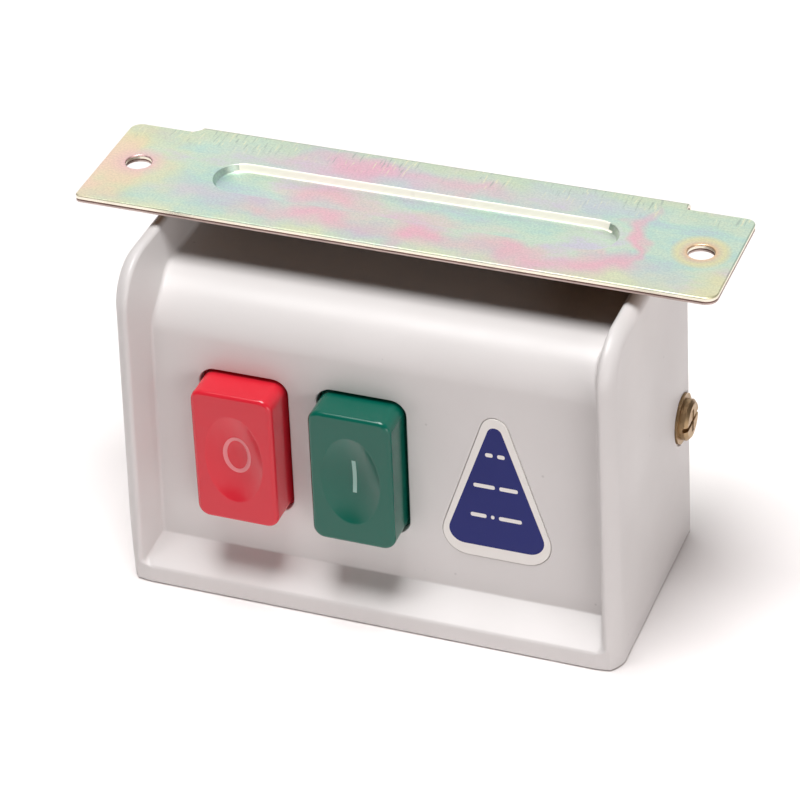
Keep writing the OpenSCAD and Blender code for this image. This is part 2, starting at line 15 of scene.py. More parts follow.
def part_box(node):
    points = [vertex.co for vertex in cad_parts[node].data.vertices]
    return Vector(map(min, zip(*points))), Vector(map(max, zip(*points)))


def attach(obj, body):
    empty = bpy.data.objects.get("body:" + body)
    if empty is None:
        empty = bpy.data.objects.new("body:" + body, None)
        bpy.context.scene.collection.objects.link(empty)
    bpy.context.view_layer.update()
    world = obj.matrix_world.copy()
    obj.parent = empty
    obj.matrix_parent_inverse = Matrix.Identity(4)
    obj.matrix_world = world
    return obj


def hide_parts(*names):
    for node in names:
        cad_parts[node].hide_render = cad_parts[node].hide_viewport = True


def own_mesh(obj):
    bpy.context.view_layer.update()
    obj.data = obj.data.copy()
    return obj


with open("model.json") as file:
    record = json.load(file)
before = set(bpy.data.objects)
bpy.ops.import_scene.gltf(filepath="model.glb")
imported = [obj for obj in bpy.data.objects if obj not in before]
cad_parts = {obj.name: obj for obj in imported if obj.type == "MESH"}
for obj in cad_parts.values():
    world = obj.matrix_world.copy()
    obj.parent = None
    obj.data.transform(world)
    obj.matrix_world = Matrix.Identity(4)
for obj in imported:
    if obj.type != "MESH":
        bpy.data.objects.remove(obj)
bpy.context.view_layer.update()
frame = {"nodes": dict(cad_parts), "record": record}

MM = 0.001
COVER_LO, COVER_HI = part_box("cover")
PLATE_LO, PLATE_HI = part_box("mounting_bracket")
OFF_LO, OFF_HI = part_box("off_button")
ON_LO, ON_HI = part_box("on_button")
LABEL_LO, LABEL_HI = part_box("label")
WASHER_LO, WASHER_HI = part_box("cover_screw_washers")

# ---------------------------------------------------------------- sizes, in millimetres
# The sides lean outwards: the cover's half width is SIDE_X at height TRUE_Z and SPLAY more at the foot.
SPLAY, TRUE_Z = 1.3, 55.0
FOOT_X = (COVER_HI.x - COVER_LO.x) / 2 / MM
SIDE_X = FOOT_X - SPLAY
COVER_TOP = (COVER_HI.z - COVER_LO.z) / MM
REAR_Y = (COVER_HI.y - COVER_LO.y) / MM
WALL = 2.0
RIM_X = SIDE_X - 3.1
PANEL_Y = 6.75
PANEL_TOP = COVER_TOP - 7.0
BROW_R = 10.0
LIP_H = 3.8
SHELF_H = 8.1
# The cover's skin runs on FOOT_CUT below its underside, is cut off there and has the edge rounded.
FOOT_CUT, FOOT_EDGE = 2.0, 0.45
# The back plate is as wide as the cover above this height, and fits between its walls below it.
WIDE_Z = 72.2
DECK_Z = (PLATE_HI.z - COVER_LO.z) / MM
PLATE_Y = (PLATE_LO.y - COVER_LO.y) / MM
PLATE_X = PLATE_HI.x / MM
BACK_Y = (PLATE_HI.y - COVER_LO.y) / MM
SHEET = 1.6
HOLE_Y = -COVER_LO.y / MM
CAP_Z = (ON_HI.z + ON_LO.z) / 2 / MM - COVER_LO.z / MM
OFF_X = (OFF_LO.x + OFF_HI.x) / 2 / MM
ON_X = (ON_LO.x + ON_HI.x) / 2 / MM
CAP_W, CAP_H, CAP_R = 16.9, 29.5, 2.5
CAP_FACE = (ON_LO.y - COVER_LO.y) / MM
WINDOW_GAP = 0.6
LABEL_X = (LABEL_LO.x + LABEL_HI.x) / 2 / MM
LABEL_Z = (LABEL_LO.z - COVER_LO.z) / MM
LABEL_W = (LABEL_HI.x - LABEL_LO.x) / MM
LABEL_H = (LABEL_HI.z - LABEL_LO.z) / MM
LABEL_Y = (LABEL_LO.y - COVER_LO.y) / MM
LABEL_FOOT_R, LABEL_TIP_R = 5.1, 2.7
SCREW_Y = (WASHER_LO.y + WASHER_HI.y) / 2 / MM - COVER_LO.y / MM
SCREW_Z = (WASHER_LO.z + WASHER_HI.z) / 2 / MM - COVER_LO.z / MM
SCREW_HOLE_R, SCREW_SEAT_R = 2.3, 5.6


def at(x, y, z):
    """A point of the cover's coordinates, in the row frame and in metres."""
    return Vector((x * MM, COVER_LO.y + y * MM, COVER_LO.z + z * MM))


def arc(start, end, steps):
    """Angles from start to end in degrees, in radians, both ends included."""
    return [math.radians(start + (end - start) * i / steps) for i in range(steps + 1)]


def sweep(cx, cy, r, angles):
    """The points at those angles on a circle."""
    return [(cx + r * math.cos(a), cy + r * math.sin(a)) for a in angles]


def circle(cx, cy, r, sides=40):
    return sweep(cx, cy, r, arc(0, 360, sides)[:-1])


# ---------------------------------------------------------------- meshes
def new_piece(name, verts, faces, materials, face_material=None):
    """A mesh object from points in the cover's coordinates."""
    mesh = bpy.data.meshes.new(name)
    mesh.from_pydata([at(*v) for v in verts], [], faces)
    obj = bpy.data.objects.new(name, mesh)
    bpy.context.scene.collection.objects.link(obj)
    for m in materials:
        mesh.materials.append(m)
    if face_material:
        mesh.polygons.foreach_set("material_index", face_material)
    bm = bmesh.new()
    bm.from_mesh(mesh)
    bmesh.ops.remove_doubles(bm, verts=bm.verts, dist=1e-6)
    bmesh.ops.recalc_face_normals(bm, faces=bm.faces)
    bm.to_mesh(mesh)
    bm.free()
    return obj


def loft(rings, caps=True):
    """Vertices and faces of a tube over rings of equally many points, with or without its two ends."""
    n = len(rings[0])
    verts = [p for ring in rings for p in ring]
    faces = []
    for i in range(len(rings) - 1):
        for j in range(n):
            a, b = i * n + j, i * n + (j + 1) % n
            faces.append((a, b, b + n, a + n))
    if caps:
        faces.append(tuple(range(n))[::-1])
        faces.append(tuple((len(rings) - 1) * n + j for j in range(n)))
    return verts, faces


def soften(obj, degrees, weighted=True):
    """Smooth shading, with edges sharper than that angle kept sharp."""
    bm = bmesh.new()
    bm.from_mesh(obj.data)
    limit = math.radians(degrees)
    for f in bm.faces:
        f.smooth = True
    for e in bm.edges:
        e.smooth = len(e.link_faces) == 2 and e.calc_face_angle(0.0) < limit
    bm.to_mesh(obj.data)
    bm.free()
    if weighted:
        m = obj.modifiers.new("normals", "WEIGHTED_NORMAL")
        m.keep_sharp = True
    return obj


def cut(obj, *cutters):
    """Takes the cutters out of obj and throws them away."""
    for c in cutters:
        m = obj.modifiers.new("cut", "BOOLEAN")
        m.operation, m.solver, m.object = "DIFFERENCE", "EXACT", c
    bpy.context.view_layer.update()
    result = obj.evaluated_get(bpy.context.evaluated_depsgraph_get())
    made = bpy.data.meshes.new_from_object(result)
    obj.modifiers.clear()
    obj.data = made
    for c in cutters:
        bpy.data.objects.remove(c)
    bm = bmesh.new()
    bm.from_mesh(obj.data)
    bmesh.ops.remove_doubles(bm, verts=bm.verts, dist=2e-6)
    bmesh.ops.dissolve_degenerate(bm, edges=bm.edges, dist=1e-6)
    bm.to_mesh(obj.data)
    bm.free()


def add_piece(obj, body, nodes):
    """Lets obj ride on a body, in place of any CAD nodes that it stands for."""
    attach(obj, body)
    if nodes:
        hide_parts(*nodes)


def round_rect(w, h, r, long_steps=12, short_steps=8, corner_steps=8):
    """Points of a rectangle about the origin with round corners, anticlockwise, in X and Z."""
    x, z = w / 2 - r, h / 2 - r
    corners = [(x, -z, -90), (x, z, 0), (-x, z, 90), (-x, -z, 180)]
    points = []
    for k, (cx, cz, a0) in enumerate(corners):
        turn = sweep(cx, cz, r, arc(a0, a0 + 90, corner_steps))
        points += turn
        x0, z0 = turn[-1]
        nx, nz, next_angle = corners[(k + 1) % 4]
        a = math.radians(next_angle)
        x1, z1 = nx + r * math.cos(a), nz + r * math.sin(a)
        steps = long_steps if k % 2 == 0 else short_steps
        points += [(x0 + (x1 - x0) * i / steps, z0 + (z1 - z0) * i / steps) for i in range(1, steps)]
    return points


def round_triangle(w, h, foot_r, tip_r, grow=0.0, steps=10):
    """Points of a triangle on a flat base with round corners, anticlockwise from the left one, in X and Z."""
    left, right, tip = (-w / 2 + foot_r, foot_r), (w / 2 - foot_r, foot_r), (0.0, h - tip_r)
    run, rise = right[0] - tip[0], tip[1] - right[1]
    length = math.hypot(run, rise)
    lean = math.degrees(math.atan2(run, rise) + math.asin((foot_r - tip_r) / length))
    out = []
    for (cx, cz), r, a0, a1 in (
        (left, foot_r, 180 - lean, 270),
        (right, foot_r, -90, lean),
        (tip, tip_r, lean, 180 - lean),
    ):
        out += sweep(cx, cz, r + grow, arc(a0, a1, steps))
    return out


# ---------------------------------------------------------------- materials
class Paint:
    """A Principled material with helpers for its procedural nodes, which work in object coordinates."""

    def __init__(self, name, color, roughness, metallic=0.0, **sockets):
        self.m = bpy.data.materials.new(name)
        self.m.use_nodes = True
        self.tree = self.m.node_tree
        self.bsdf = self.tree.nodes["Principled BSDF"]
        self.m.diffuse_color = (*color, 1)
        self.set("Base Color", (*color, 1))
        self.set("Roughness", roughness)
        self.set("Metallic", metallic)
        for k, v in sockets.items():
            self.set(k.replace("_", " "), v)
        self.coord = self.tree.nodes.new("ShaderNodeTexCoord").outputs["Object"]

    def set(self, socket, value):
        self.bsdf.inputs[socket].default_value = value

    def node(self, kind, inputs=(), **props):
        """A shader node whose inputs are linked or set, each by its name or number."""
        n = self.tree.nodes.new("ShaderNode" + kind)
        for k, v in props.items():
            setattr(n, k, v)
        for k, v in dict(inputs).items():
            if isinstance(v, bpy.types.NodeSocket):
                self.tree.links.new(v, n.inputs[k])
            else:
                n.inputs[k].default_value = v
        return n

    def noise(self, per_metre, detail=3.0, rough=0.5, stretch=None):
        vector = self.coord
        if stretch:
            vector = self.node("Mapping", {"Vector": vector, "Scale": stretch}).outputs[0]
        inputs = {"Vector": vector, "Scale": per_metre, "Detail": detail, "Roughness": rough}
        return self.node("TexNoise", inputs).outputs["Fac"]

    def ramp(self, fac, stops, ease="LINEAR"):
        """A colour ramp with stops of (position, colour or grey level)."""
        n = self.node("ValToRGB", {"Fac": fac})
        n.color_ramp.interpolation = ease
        elements = n.color_ramp.elements
        while len(elements) < len(stops):
            elements.new(0.5)
        for e, (pos, col) in zip(elements, stops):
            e.position = pos
            e.color = (*col, 1) if isinstance(col, tuple) else (col, col, col, 1)
        return n.outputs["Color"]

    def mix(self, fac, a, b, blend="MIX"):
        n = self.node("Mix", data_type="RGBA", blend_type=blend)
        for key, v in (("Factor", fac), ("A", a), ("B", b)):
            socket = [s for s in n.inputs if s.name == key and s.enabled][0]
            if isinstance(v, bpy.types.NodeSocket):
                self.tree.links.new(v, socket)
            else:
                socket.default_value = v if key == "Factor" else (*v, 1)
        return [s for s in n.outputs if s.enabled][0]

    def math(self, kind, *values):
        return self.node("Math", dict(enumerate(values)), operation=kind).outputs[0]

    def vector(self, kind, *values):
        """Vector math, as a vector and as the number that a length or a distance gives."""
        return self.node("VectorMath", dict(enumerate(values)), operation=kind).outputs

    def link(self, output, socket):
        self.tree.links.new(output, self.bsdf.inputs[socket])

    def bump(self, height, strength, depth):
        n = self.node("Bump", {"Height": height, "Strength": strength, "Distance": depth})
        self.link(n.outputs[0], "Normal")


def srgb(r, g, b):
    """Scene colour of a display colour given from 0 to 255."""
    return tuple(((c / 255 + 0.055) / 1.055) ** 2.4 if c > 10 else c / 255 / 12.92 for c in (r, g, b))


def shade(color, factor):
    """A colour made darker or lighter, at most white."""
    return tuple(min(1.0, c * factor) for c in color)


def moulded(name, color, roughness, spread=0.06, bump=0.25, specks=0.0, **sockets):
    """Moulded plastic: faint clouding, a fine satin grain and optional dark specks."""
    p = Paint(name, color, roughness, **sockets)
    cloud = p.noise(28, 3)
    tint = p.ramp(cloud, [(0.3, shade(color, 1 - spread)), (0.7, shade(color, 1 + spread * 0.6))])
    if specks:
        dots = p.node("TexVoronoi", {"Vector": p.coord, "Scale": 260.0}, feature="F1").outputs["Distance"]
        keep = p.ramp(p.noise(180, 1), [(0.62, 0.0), (0.66, 1.0)])
        dot = p.ramp(dots, [(0.05, 1.0), (0.09, 0.0)])
        mask = p.math("MULTIPLY", p.math("MULTIPLY", dot, keep), specks)
        tint = p.mix(mask, tint, shade(color, 0.35))
    p.link(tint, "Base Color")
    gloss = p.ramp(p.noise(70, 4, 0.6), [(0.3, roughness - 0.05), (0.7, roughness + 0.07)])
    p.link(gloss, "Roughness")
    fine, soft = p.noise(900, 2), p.noise(110, 2)
    p.bump(p.math("ADD", fine, p.math("MULTIPLY", soft, 2.0)), bump, 0.00004)
    return p


def metal(name, color, roughness, spread=0.12, scratch=0.3):
    """Plated or bare metal: tarnish in patches and fine scratches."""
    p = Paint(name, color, roughness, 1.0)
    tint = p.ramp(p.noise(160, 4, 0.6), [(0.25, shade(color, 1 - spread)), (0.75, shade(color, 1 + spread))])
    p.link(tint, "Base Color")
    p.link(p.ramp(p.noise(400, 3), [(0.3, roughness - 0.08), (0.7, roughness + 0.12)]), "Roughness")
    lines = p.noise(300, 2, 0.5, stretch=(1.0, 14.0, 1.0))
    p.bump(lines, scratch, 0.00003)
    return p


COVER_PAINT = moulded("cover_plastic", srgb(214, 210, 209), 0.4, 0.03, specks=0.25)

# ---------------------------------------------------------------- cover
UPRIGHT_R, SHOULDER_R = 3.5, 2.5
FOOT_GROW, FOOT_FADE = 3.0, 16.0
INNER_FILLET, RIM_EDGE = 0.6, 0.7
# The rims' inner walls come in by DRAFT over the recess's depth, and by TUCK at the lip.
DRAFT, TUCK = 2.0, 2.2
# The spot faces under the washers are cut to this distance from the middle.
SEAT_X = SIDE_X + 0.35


def rim_above(point, n):
    """Where a panel point's outward normal meets the rim's outline, and the rim's inward normal there."""
    y, z = point
    cy, cz = BROW_R, COVER_TOP - BROW_R
    along = n[0] * (cy - y) + n[1] * (cz - z)
    s = along + math.sqrt(max(0.0, along**2 - (cy - y) ** 2 - (cz - z) ** 2 + BROW_R**2))
    hit = (y + n[0] * s, z + n[1] * s)
    if hit[1] < cz:  # it meets the straight front below the round
        return (0.0, z - n[1] * y / n[0]), (1.0, 0.0)
    if hit[0] > cy:  # it meets the flat top behind the round
        return (y + n[0] * (COVER_TOP - z) / n[1], COVER_TOP), (0.0, -1.0)
    return hit, ((cy - hit[0]) / BROW_R, (cz - hit[1]) / BROW_R)


def cover_rows():
    """(Panel point, rim point, the rim's inward normal) round the cover from rear bottom to rear top."""
    rows = []
    crest_r, shelf_r = 0.9, 0.5
    for i in range(5):
        y = REAR_Y * (1 - i / 5)
        rows.append(((y, -FOOT_CUT), (y, -FOOT_CUT), (0.0, 1.0)))
    slope = math.atan2(SHELF_H - LIP_H, PANEL_Y)
    turn = math.pi / 2 - slope
    low = LIP_H - crest_r * math.tan(turn / 2)
    high = SHELF_H + shelf_r * math.tan(turn / 2)
    lip = [(0.0, -FOOT_CUT)] + [(0.0, low * i / 4) for i in range(4)]
    crest = sweep(crest_r, low, crest_r, arc(180, 180 - math.degrees(turn), 8))
    back = sweep(PANEL_Y - shelf_r, high, shelf_r, arc(-math.degrees(turn), 0, 5))
    (y0, z0), (y1, z1) = crest[-1], back[0]
    shelf = [(y0 + (y1 - y0) * i / 12, z0 + (z1 - z0) * i / 12) for i in range(1, 12)]
    for y, z in lip + crest + shelf + back:
        rows.append(((y, z), (0.0, z), (1.0, 0.0)))
    top = PANEL_TOP - BROW_R
    for i in range(1, 8):
        z = high + (top - high) * i / 8
        rows.append(((PANEL_Y, z), (0.0, z), (1.0, 0.0)))
    for a in arc(0, 90, 36):
        n = (-math.cos(a), math.sin(a))
        p = (PANEL_Y + BROW_R + BROW_R * n[0], top + BROW_R * n[1])
        rows.append((p, *rim_above(p, n)))
    y0 = PANEL_Y + BROW_R
    for i in range(1, 6):
        y = y0 + (REAR_Y - y0) * i / 5
        rows.append(((y, PANEL_TOP), (y, COVER_TOP), (0.0, -1.0)))
    return rows


def tuck(point):
    """How far a rim's inner edge comes in near the lip, which rounds the recess's lower corners."""
    near = max(0.0, 1 - point[0] / TUCK) if point[1] < SHELF_H else 0.0
    return TUCK * (1 - math.sqrt(1 - near**2))


def cover_rings():
    """Outlines of the cover from its left side to its right, each from rear bottom round to rear top."""
    rows = cover_rows()
    right = []

    def wall_x(depth):
        """Where the rim's inner wall stands, that far below the rim."""
        return RIM_X - DRAFT * depth / PANEL_Y

    def ring(place):
        """place(depth) gives each point's x and how far it lies from the panel towards the rim."""
        out = []
        for p, r, n in rows:
            x, t = place(max(math.dist(p, r), INNER_FILLET + RIM_EDGE))
            out.append((x - tuck(p), p[0] + (r[0] - p[0]) * t, p[1] + (r[1] - p[1]) * t))
        return out

    for a in arc(0, 90, 5):  # the fillet where the panel meets the rim
        rise = INNER_FILLET * (1 - math.cos(a))
        right.append(ring(lambda d: (wall_x(d - rise) - INNER_FILLET * (1 - math.sin(a)), rise / d)))
    for a in arc(0, 90, 6):  # the rim's inner edge
        drop = RIM_EDGE * (1 - math.sin(a))
        right.append(ring(lambda d: (wall_x(drop) + RIM_EDGE * (1 - math.cos(a)), 1 - drop / d)))
    for step in range(1, 11):  # the rim's outer round, down to the side wall
        out = []
        for _, (y, z), (ny, nz) in rows:
            r = UPRIGHT_R + (SHOULDER_R - UPRIGHT_R) * max(0.0, -nz)
            r += FOOT_GROW * (1 - min(FOOT_FADE, max(0.0, z)) / FOOT_FADE) ** 2
            start = math.asin(max(0.0, 1 - (SIDE_X - RIM_X - RIM_EDGE) / r))
            a = start + (math.pi / 2 - start) * step / 10
            d = 0.0 if nz > 0 else r * (math.cos(start) - math.cos(a))
            out.append((SIDE_X - r * (1 - math.sin(a)), y + ny * d, z + nz * d))
        right.append(out)
    right = [[(x * (1 + SPLAY / SIDE_X * (1 - z / TRUE_Z)), y, z) for x, y, z in points] for points in right]
    left = [[(-x, y, z) for x, y, z in points] for points in reversed(right)]
    return left + right


def cutter(rings):
    return new_piece("cutter", *loft(rings), [])


def prism_x(outline, x0, x1):
    return cutter([[(x, y, z) for y, z in outline] for x in (x0, x1)])


def flared(outline, steps):
    """A cutter along Y: outline(grow) gives its points in X and Z, steps are (y, grow)."""
    return cutter([[(x, y, z) for x, z in outline(grow)] for y, grow in steps])


def window_cutter(cx):
    def outline(grow):
        gap = WINDOW_GAP + grow
        return [(cx + x, CAP_Z + z) for x, z in round_rect(CAP_W + 2 * gap, CAP_H + 2 * gap, CAP_R + gap)]

    rear_end = 12.0
    edge = [(PANEL_Y - 0.5, 0.8), (PANEL_Y, 0.3), (PANEL_Y + 0.08, 0.14), (PANEL_Y + 0.3, 0.0)]
    return flared(outline, [*edge, (rear_end, 0.0)])


def label_outline(grow=0.0):
    shape = round_triangle(LABEL_W, LABEL_H, LABEL_FOOT_R, LABEL_TIP_R, grow)
    return [(LABEL_X + x, LABEL_Z + z) for x, z in shape]


def break_foot_edge(cover):
    """Rounds the edge round the cover's underside."""
    bm = bmesh.new()
    bm.from_mesh(cover.data)
    foot = COVER_LO.z + 1e-6
    under = [e for e in bm.edges if all(v.co.z < foot for v in e.verts) and e.calc_face_angle(0.0) > 1]
    bmesh.ops.bevel(bm, geom=under, offset=FOOT_EDGE * MM, segments=3, profile=0.5, affect="EDGES")
    bm.to_mesh(cover.data)
    bm.free()


def make_cover():
    """The skin, less what it is open for: the inside, screw holes, spot faces, windows and label recess."""
    cover = new_piece("moulded_cover", *loft(cover_rings()), [COVER_PAINT.m])
    inner_y, inner_top, r = PANEL_Y + WALL, PANEL_TOP - WALL, BROW_R - WALL
    inside = [(REAR_Y + 1, inner_top), (REAR_Y + 1, WALL), (inner_y, WALL)]
    inside += sweep(inner_y + r, inner_top - r, r, arc(180, 90, 12))
    foot = [(-1, -FOOT_CUT - 1), (REAR_Y + 1, -FOOT_CUT - 1), (REAR_Y + 1, 0), (-1, 0)]
    wide = FOOT_X + 1
    seat = circle(SCREW_Y, SCREW_Z, SCREW_SEAT_R)
    recess = [(PANEL_Y - 0.3, 0.5), (PANEL_Y, 0.2), (PANEL_Y + 0.1, 0.13), (PANEL_Y + 0.3, 0.12)]
    cut(
        cover,
        prism_x(foot, -wide, wide),
        prism_x(inside, WALL - SIDE_X, SIDE_X - WALL),
        prism_x(circle(SCREW_Y, SCREW_Z, SCREW_HOLE_R), -wide, wide),
        prism_x(seat, -wide, -SEAT_X),
        prism_x(seat, SEAT_X, wide),
        window_cutter(OFF_X),
        window_cutter(ON_X),
        flared(label_outline, recess),
    )
    break_foot_edge(cover)
    soften(cover, 34)
    add_piece(cover, "housing", ["cover"])


make_cover()


# ---------------------------------------------------------------- flat sheets, triangulated
def rounded_path(corners, steps=6):
    """A closed path through (x, y, radius) corners, each rounded by its radius."""
    out = []
    for i, (x, y, r) in enumerate(corners):
        p, a, b = Vector((x, y)), corners[i - 1], corners[(i + 1) % len(corners)]
        u, v = (Vector(a[:2]) - p).normalized(), (Vector(b[:2]) - p).normalized()
        turn = math.pi - u.angle(v)
        back = r * math.tan(turn / 2)
        centre = p + (u + v).normalized() * (r / math.cos(turn / 2))
        w0, w1 = p + u * back - centre, p + v * back - centre
        for k in range(steps + 1):
            a = turn * k / steps
            out.append(tuple(centre + (w0 * math.sin(turn - a) + w1 * math.sin(a)) / math.sin(turn)))
    return out


def area(path):
    """The area inside a path, negative if it runs clockwise."""
    return sum(a[0] * b[1] - b[0] * a[1] for a, b in zip(path, path[1:] + path[:1])) / 2


def inset(path, amount):
    """The path moved towards its inside, or outwards if amount is negative."""
    side = 1 if area(path) > 0 else -1
    out = []
    for i, point in enumerate(path):
        p, after = Vector(point), Vector(path[(i + 1) % len(path)])
        u, v = (p - Vector(path[i - 1])).normalized(), (after - p).normalized()
        n = Vector((-u.y - v.y, u.x + v.x)).normalized() * side
        out.append(tuple(p + n * (amount / max(0.5, n.dot(Vector((-v.y, v.x)) * side)))))
    return out


def inside_path(path, x, y):
    """Whether a line from the point to the right crosses the path an odd number of times."""
    found = False
    for (x0, y0), (x1, y1) in zip(path, path[1:] + path[:1]):
        if (y0 > y) != (y1 > y) and x < x0 + (y - y0) * (x1 - x0) / (y1 - y0):
            found = not found
    return found


def triangulate(paths, lines=()):
    """Points and triangles of the plane with every path and line as edges."""
    points, edges = [], []
    for path in paths:
        n = len(points)
        points += [Vector(p) for p in path]
        edges += [(n + i, n + (i + 1) % len(path)) for i in range(len(path))]
    for a, b in lines:
        edges.append((len(points), len(points) + 1))
        points += [Vector(a), Vector(b)]
    made = geometry.delaunay_2d_cdt(points, edges, [], 0, 1e-5)
    return [(p.x, p.y) for p in made[0]], [tuple(f) for f in made[2]]


def rim_edges(faces):
    """Directed edges that only one face has, in the order in which the faces name them."""
    seen = dict.fromkeys(e for f in faces for e in zip(f, f[1:] + f[:1]))
    return [e for e in seen if (e[1], e[0]) not in seen]


def outward(points, edges):
    """The direction out of the sheet at each point of its rim, long enough to keep an offset rim even."""
    normals = {}
    for a, b in edges:
        d = Vector(points[b]) - Vector(points[a])
        n = Vector((d.y, -d.x)).normalized()
        normals.setdefault(a, []).append(n)
        normals.setdefault(b, []).append(n)
    out = {}
    for k, ns in normals.items():
        m = sum(ns, Vector((0, 0))).normalized()
        out[k] = m / max(0.5, m.dot(ns[0]))
    return out


def plate_mesh(points, faces, kinds, thickness, rim, surface, under=None, depth=None, under_kind=0):
    """A closed sheet, as vertices, faces and each face's material number.

    surface(x, y, depth) places a point, under(point) moves it for the underside, and depth holds the points
    that lie below the outer face. rim is [(depth, out, kind)] from the outer face to the underside, where
    kind is the material of the band that ends there.
    """
    faces = [f if area([points[i] for i in f]) > 0 else f[::-1] for f in faces]
    depth = depth or {}
    under = under or (lambda p: p)
    edges = rim_edges(faces)
    out = outward(points, edges)
    n = len(points)
    verts = [surface(*points[i], depth.get(i, 0.0)) for i in range(n)]
    verts += [surface(*under(points[i]), depth.get(i, 0.0) + thickness) for i in range(n)]
    made = list(faces) + [tuple(i + n for i in reversed(f)) for f in faces]
    kinds = kinds + [under_kind] * len(faces)
    rows = [{i: i for i in out}]
    for d, o, _ in rim:
        row = {}
        for i, m in out.items():
            row[i] = len(verts)
            verts.append(surface(points[i][0] + m.x * o, points[i][1] + m.y * o, d))
        rows.append(row)
    rows.append({i: i + n for i in out})
    bands = [kind for _, _, kind in rim] + [0]
    for up, down, kind in zip(rows, rows[1:], bands):
        made += [(up[a], down[a], down[b], up[b]) for a, b in edges]
        kinds += [kind] * len(edges)
    return verts, made, kinds


# ---------------------------------------------------------------- bracket
def chromate_patches():
    """Ellipses of colour on the plate: (x, y, half width, half depth, strength, colour, size of its core)."""
    pink, lilac = srgb(238, 178, 196), srgb(212, 196, 216)
    cream, peach = srgb(228, 222, 178), srgb(240, 212, 192)
    clouds = (
        (-12, 8.5, 39, 9.0, 0.65, lilac),
        (-14, 9.5, 21, 5.5, 0.75, pink),
        (8, 9.0, 16, 5.0, 0.50, pink),
        (-17, 0.5, 18, 6.5, 0.70, pink),
        (-18, -8.5, 21, 7.0, 0.80, pink),
        (4, -9.5, 15, 6.0, 0.85, pink),
        (4, -2.5, 21, 5.0, 0.40, pink),
        (24, -10.0, 18, 6.0, 0.75, pink),
        (40, -10.0, 14, 7.0, 0.80, pink),
        (44, 1.0, 4, 17.5, 0.80, pink),
        (-40, -6.0, 18, 6.5, 0.60, lilac),
        (30, 9.0, 23, 7.0, 0.45, lilac),
        (52, -10.0, 11, 9.5, 0.30, lilac),
    )
    ends = (
        (-66, 0.0, 21, 26.0, 1.0, cream),
        (-68, -4.0, 14, 18.0, 1.0, peach),
        (-60, 0.0, 8.5, 6.0, 0.8, peach),
        (66, -13.0, 10, 8.0, 0.8, cream),
    )
    return [(*row, 0.0) for row in clouds] + [(*row, 0.2) for row in ends]


def make_chromate():
    """Yellow passivated zinc: a pale green film with lilac and pink clouds, warm ends and stained holes."""
    p = Paint("chromate_steel", srgb(202, 218, 208), 0.38, 0.75)
    sway = {"Vector": p.coord, "Scale": 110.0, "Detail": 2.0, "Roughness": 0.45}
    sway = p.node("TexNoise", sway).outputs["Color"]
    sway = p.vector("ADD", sway, (-0.5, -0.5, -0.5))[0]
    flow = p.vector("MULTIPLY_ADD", sway, (0.026, 0.013, 0.013), p.coord)[0]

    def patch(x, y, half_x, half_y, core):
        """One inside an ellipse on the plate, falling to nothing at its edge and down the back plate."""
        away = p.vector("ADD", flow, (-x * MM, -y * MM, 0.0))[0]
        away = p.vector("MULTIPLY", away, (1 / (half_x * MM), 1 / (half_y * MM), 30.0))[0]
        return p.ramp(p.vector("LENGTH", away)[1], [(core, 1.0), (1.0, 0.0)], "EASE")

    grain = p.noise(2200, 2, 0.6)
    cloud = p.noise(70, 4, 0.6, stretch=(0.6, 1.3, 0.8))
    cloud = p.math("ADD", cloud, p.math("MULTIPLY_ADD", grain, 0.16, -0.08))
    film = [(0.34, srgb(190, 208, 214)), (0.45, srgb(190, 220, 208))]
    film += [(0.55, srgb(206, 224, 204)), (0.68, srgb(208, 206, 218))]
    tint = p.ramp(cloud, film)
    across = p.node("SeparateXYZ", {0: flow}).outputs[1]
    for scale, stops, colour in (
        (40.0, [(0.36, 0.0), (0.62, 0.55)], srgb(208, 216, 184)),
        (-40.0, [(0.46, 0.0), (0.62, 0.7)], srgb(226, 226, 188)),
    ):
        tint = p.mix(p.ramp(p.math("MULTIPLY", across, scale), stops), tint, colour)
    for x, y, half_x, half_y, strength, colour, core in chromate_patches():
        tint = p.mix(p.math("MULTIPLY", patch(x, y, half_x, half_y, core), strength), tint, colour)
    for sign, stain in ((-1, srgb(236, 196, 196)), (1, srgb(238, 196, 152))):
        d = p.math("DIVIDE", p.vector("DISTANCE", p.coord, (sign * FIXING_X * MM, 0.0, 0.0))[1], 6 * MM)
        tint = p.mix(p.ramp(d, [(0.42, 0.95), (0.60, 0.55), (1.0, 0.0)]), tint, stain)
        if sign > 0:
            tint = p.mix(p.ramp(d, [(0.55, 0.0), (0.75, 0.6), (1.0, 0.0)]), tint, srgb(232, 226, 168))
    lines, dents = rolling_marks(p)
    tint = p.mix(p.math("MULTIPLY", lines, 0.7), tint, srgb(232, 232, 200))
    tint = p.mix(p.math("MULTIPLY", dents, 0.5), tint, srgb(150, 168, 160))
    fine = p.ramp(grain, [(0.35, 0.90), (0.65, 1.04)])
    p.link(p.mix(1.0, tint, fine, "MULTIPLY"), "Base Color")
    p.link(p.ramp(p.noise(60, 4, 0.6), [(0.3, 0.32), (0.7, 0.46)]), "Roughness")
    p.bump(p.math("ADD", grain, p.math("MULTIPLY", p.math("SUBTRACT", lines, dents), 1.4)), 0.3, 0.00003)
    return p


